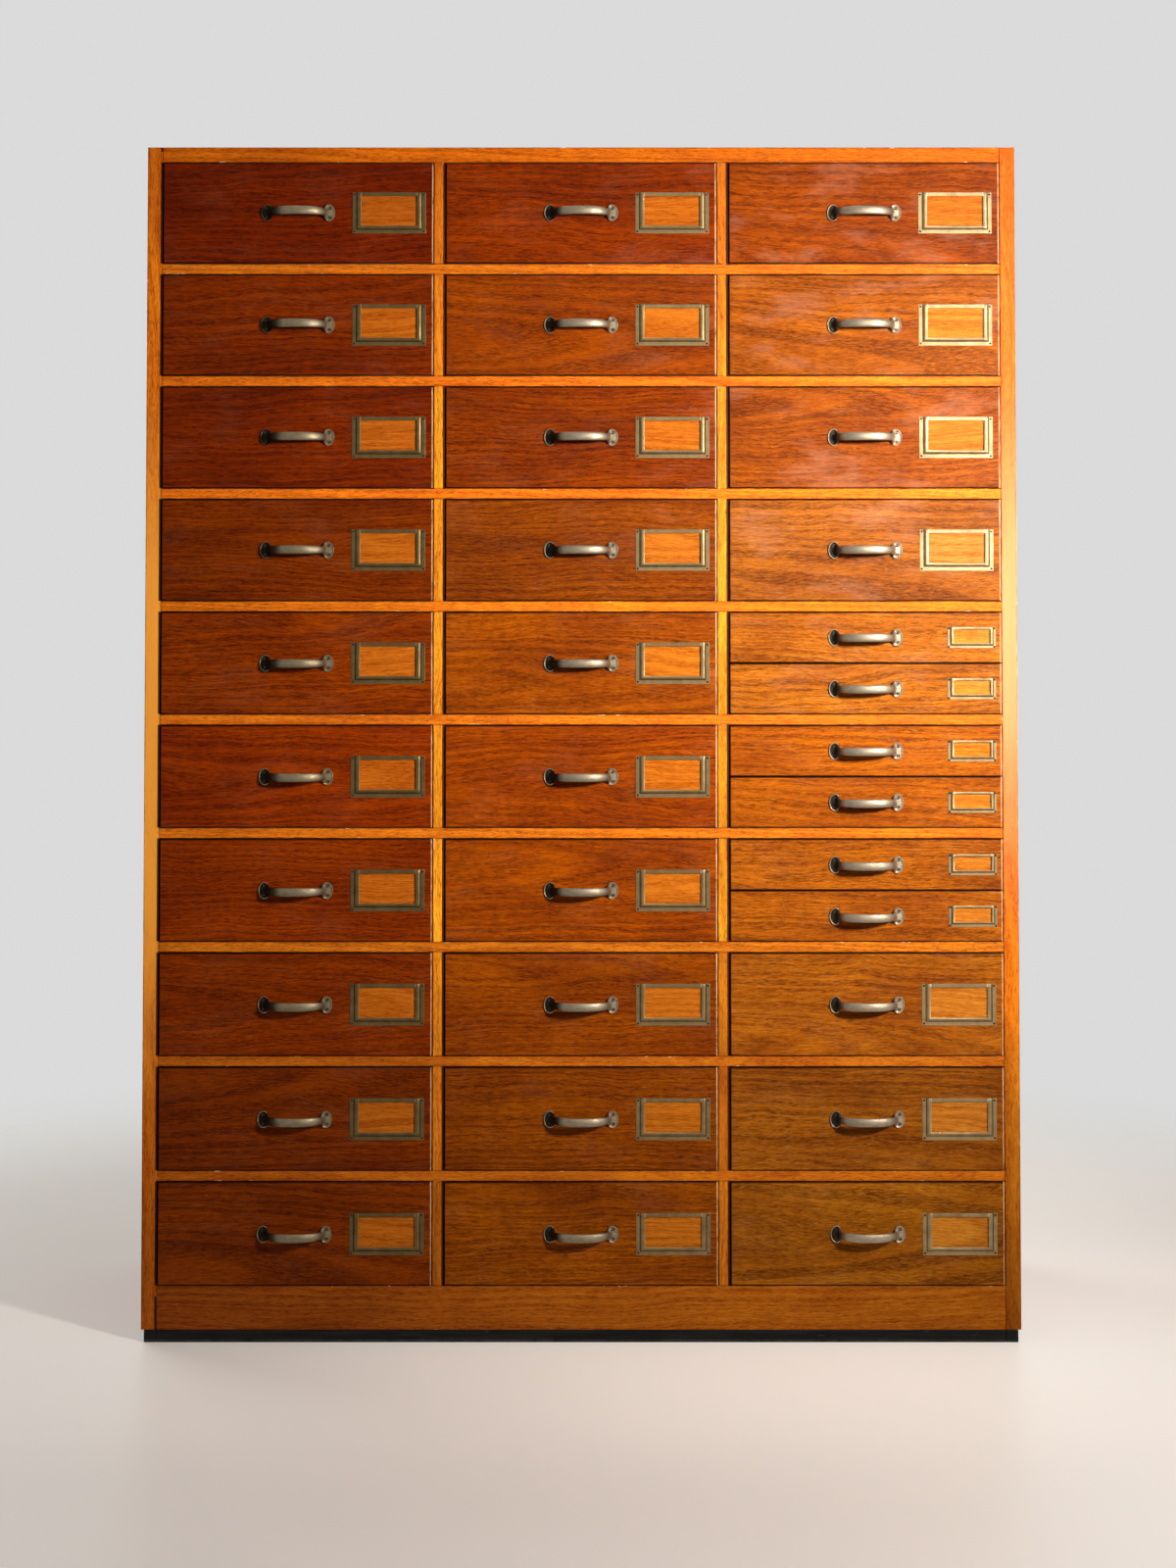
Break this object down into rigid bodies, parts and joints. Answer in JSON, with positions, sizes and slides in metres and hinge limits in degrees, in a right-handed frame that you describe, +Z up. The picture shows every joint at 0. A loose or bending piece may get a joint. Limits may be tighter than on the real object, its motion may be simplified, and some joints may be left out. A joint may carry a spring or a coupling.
{
  "type": "apothecary chest",
  "caption": "Tall oak case on a low black plinth, filled with small flush drawers, each with a metal bow pull and a card frame beside it.",
  "frame": {"origin": "on the floor, under the middle of the whole piece, pulls included", "axes": "+Z up, +X to the right as seen from the front, the drawer fronts face -Y and open towards -Y"},
  "size_m": [1.2, 0.4824, 1.638],
  "materials": {
    "oak_case": "honey oak, thin worn varnish",
    "oak_front": "red-brown stained oak, satin varnish",
    "oak_inside": "bare oak, dull",
    "black_paint": "black paint, worn at the corners",
    "aged_nickel": "worn nickel plate over brass",
    "aged_brass": "dark pressed brass with bright worn edges"
  },
  "bodies": {
    "case": {"back_boards": "oak_inside", "base_front_rail": "oak_case", "bottom_board": "oak_case", "drawer_stops": "oak_inside", "front_rail_1": "oak_case", "front_rail_2": "oak_case", "front_rail_3": "oak_case", "front_rail_4": "oak_case", "front_rail_5": "oak_case", "front_rail_6": "oak_case", "front_rail_7": "oak_case", "front_rail_8": "oak_case", "front_rail_9": "oak_case", "left_muntins": "oak_case", "left_partition": "oak_case", "left_side_panel": "oak_case", "plinth_back": "black_paint", "plinth_front": "black_paint", "plinth_left": "black_paint", "plinth_right": "black_paint", "right_muntins": "oak_case", "right_partition": "oak_case", "right_side_panel": "oak_case", "runners_left": "oak_inside", "runners_middle": "oak_inside", "runners_right": "oak_inside", "top_board": "oak_case"},
    "drawer_row01_left": {"drawer_row01_left": "oak_front"},
    "drawer_row02_left": {"drawer_row02_left": "oak_front"},
    "drawer_row03_left": {"drawer_row03_left": "oak_front"},
    "drawer_row04_left": {"drawer_row04_left": "oak_front"},
    "drawer_row05_left": {"drawer_row05_left": "oak_front"},
    "drawer_row06_left": {"drawer_row06_left": "oak_front"},
    "drawer_row07_left": {"drawer_row07_left": "oak_front"},
    "drawer_row08_left": {"drawer_row08_left": "oak_front"},
    "drawer_row09_left": {"drawer_row09_left": "oak_front"},
    "drawer_row10_left": {"drawer_row10_left": "oak_front"},
    "drawer_row01_middle": {"drawer_row01_middle": "oak_front"},
    "drawer_row02_middle": {"drawer_row02_middle": "oak_front"},
    "drawer_row03_middle": {"drawer_row03_middle": "oak_front"},
    "drawer_row04_middle": {"drawer_row04_middle": "oak_front"},
    "drawer_row05_middle": {"drawer_row05_middle": "oak_front"},
    "drawer_row06_middle": {"drawer_row06_middle": "oak_front"},
    "drawer_row07_middle": {"drawer_row07_middle": "oak_front"},
    "drawer_row08_middle": {"drawer_row08_middle": "oak_front"},
    "drawer_row09_middle": {"drawer_row09_middle": "oak_front"},
    "drawer_row10_middle": {"drawer_row10_middle": "oak_front"},
    "drawer_row01_right": {"drawer_row01_right": "oak_front"},
    "drawer_row02_right": {"drawer_row02_right": "oak_front"},
    "drawer_row03_right": {"drawer_row03_right": "oak_front"},
    "drawer_row04_right": {"drawer_row04_right": "oak_front"},
    "drawer_row05_right_lower": {"drawer_row05_right_lower": "oak_front"},
    "drawer_row05_right_upper": {"drawer_row05_right_upper": "oak_front"},
    "drawer_row06_right_lower": {"drawer_row06_right_lower": "oak_front"},
    "drawer_row06_right_upper": {"drawer_row06_right_upper": "oak_front"},
    "drawer_row07_right_lower": {"drawer_row07_right_lower": "oak_front"},
    "drawer_row07_right_upper": {"drawer_row07_right_upper": "oak_front"},
    "drawer_row08_right": {"drawer_row08_right": "oak_front"},
    "drawer_row09_right": {"drawer_row09_right": "oak_front"},
    "drawer_row10_right": {"drawer_row10_right": "oak_front"}
  },
  "joints": [
    {"name": "drawer_row01_left_slide", "type": "slide", "parent": "case", "child": "drawer_row01_left", "axis": [0, -1, 0], "range_m": [0, 0.3]},
    {"name": "drawer_row02_left_slide", "type": "slide", "parent": "case", "child": "drawer_row02_left", "axis": [0, -1, 0], "range_m": [0, 0.3]},
    {"name": "drawer_row03_left_slide", "type": "slide", "parent": "case", "child": "drawer_row03_left", "axis": [0, -1, 0], "range_m": [0, 0.3]},
    {"name": "drawer_row04_left_slide", "type": "slide", "parent": "case", "child": "drawer_row04_left", "axis": [0, -1, 0], "range_m": [0, 0.3]},
    {"name": "drawer_row05_left_slide", "type": "slide", "parent": "case", "child": "drawer_row05_left", "axis": [0, -1, 0], "range_m": [0, 0.3]},
    {"name": "drawer_row06_left_slide", "type": "slide", "parent": "case", "child": "drawer_row06_left", "axis": [0, -1, 0], "range_m": [0, 0.3]},
    {"name": "drawer_row07_left_slide", "type": "slide", "parent": "case", "child": "drawer_row07_left", "axis": [0, -1, 0], "range_m": [0, 0.3]},
    {"name": "drawer_row08_left_slide", "type": "slide", "parent": "case", "child": "drawer_row08_left", "axis": [0, -1, 0], "range_m": [0, 0.3]},
    {"name": "drawer_row09_left_slide", "type": "slide", "parent": "case", "child": "drawer_row09_left", "axis": [0, -1, 0], "range_m": [0, 0.3]},
    {"name": "drawer_row10_left_slide", "type": "slide", "parent": "case", "child": "drawer_row10_left", "axis": [0, -1, 0], "range_m": [0, 0.3]},
    {"name": "drawer_row01_middle_slide", "type": "slide", "parent": "case", "child": "drawer_row01_middle", "axis": [0, -1, 0], "range_m": [0, 0.3]},
    {"name": "drawer_row02_middle_slide", "type": "slide", "parent": "case", "child": "drawer_row02_middle", "axis": [0, -1, 0], "range_m": [0, 0.3]},
    {"name": "drawer_row03_middle_slide", "type": "slide", "parent": "case", "child": "drawer_row03_middle", "axis": [0, -1, 0], "range_m": [0, 0.3]},
    {"name": "drawer_row04_middle_slide", "type": "slide", "parent": "case", "child": "drawer_row04_middle", "axis": [0, -1, 0], "range_m": [0, 0.3]},
    {"name": "drawer_row05_middle_slide", "type": "slide", "parent": "case", "child": "drawer_row05_middle", "axis": [0, -1, 0], "range_m": [0, 0.3]},
    {"name": "drawer_row06_middle_slide", "type": "slide", "parent": "case", "child": "drawer_row06_middle", "axis": [0, -1, 0], "range_m": [0, 0.3]},
    {"name": "drawer_row07_middle_slide", "type": "slide", "parent": "case", "child": "drawer_row07_middle", "axis": [0, -1, 0], "range_m": [0, 0.3]},
    {"name": "drawer_row08_middle_slide", "type": "slide", "parent": "case", "child": "drawer_row08_middle", "axis": [0, -1, 0], "range_m": [0, 0.3]},
    {"name": "drawer_row09_middle_slide", "type": "slide", "parent": "case", "child": "drawer_row09_middle", "axis": [0, -1, 0], "range_m": [0, 0.3]},
    {"name": "drawer_row10_middle_slide", "type": "slide", "parent": "case", "child": "drawer_row10_middle", "axis": [0, -1, 0], "range_m": [0, 0.3]},
    {"name": "drawer_row01_right_slide", "type": "slide", "parent": "case", "child": "drawer_row01_right", "axis": [0, -1, 0], "range_m": [0, 0.3]},
    {"name": "drawer_row02_right_slide", "type": "slide", "parent": "case", "child": "drawer_row02_right", "axis": [0, -1, 0], "range_m": [0, 0.3]},
    {"name": "drawer_row03_right_slide", "type": "slide", "parent": "case", "child": "drawer_row03_right", "axis": [0, -1, 0], "range_m": [0, 0.3]},
    {"name": "drawer_row04_right_slide", "type": "slide", "parent": "case", "child": "drawer_row04_right", "axis": [0, -1, 0], "range_m": [0, 0.3]},
    {"name": "drawer_row05_right_lower_slide", "type": "slide", "parent": "case", "child": "drawer_row05_right_lower", "axis": [0, -1, 0], "range_m": [0, 0.3]},
    {"name": "drawer_row05_right_upper_slide", "type": "slide", "parent": "case", "child": "drawer_row05_right_upper", "axis": [0, -1, 0], "range_m": [0, 0.3]},
    {"name": "drawer_row06_right_lower_slide", "type": "slide", "parent": "case", "child": "drawer_row06_right_lower", "axis": [0, -1, 0], "range_m": [0, 0.3]},
    {"name": "drawer_row06_right_upper_slide", "type": "slide", "parent": "case", "child": "drawer_row06_right_upper", "axis": [0, -1, 0], "range_m": [0, 0.3]},
    {"name": "drawer_row07_right_lower_slide", "type": "slide", "parent": "case", "child": "drawer_row07_right_lower", "axis": [0, -1, 0], "range_m": [0, 0.3]},
    {"name": "drawer_row07_right_upper_slide", "type": "slide", "parent": "case", "child": "drawer_row07_right_upper", "axis": [0, -1, 0], "range_m": [0, 0.3]},
    {"name": "drawer_row08_right_slide", "type": "slide", "parent": "case", "child": "drawer_row08_right", "axis": [0, -1, 0], "range_m": [0, 0.3]},
    {"name": "drawer_row09_right_slide", "type": "slide", "parent": "case", "child": "drawer_row09_right", "axis": [0, -1, 0], "range_m": [0, 0.3]},
    {"name": "drawer_row10_right_slide", "type": "slide", "parent": "case", "child": "drawer_row10_right", "axis": [0, -1, 0], "range_m": [0, 0.3]}
  ]
}
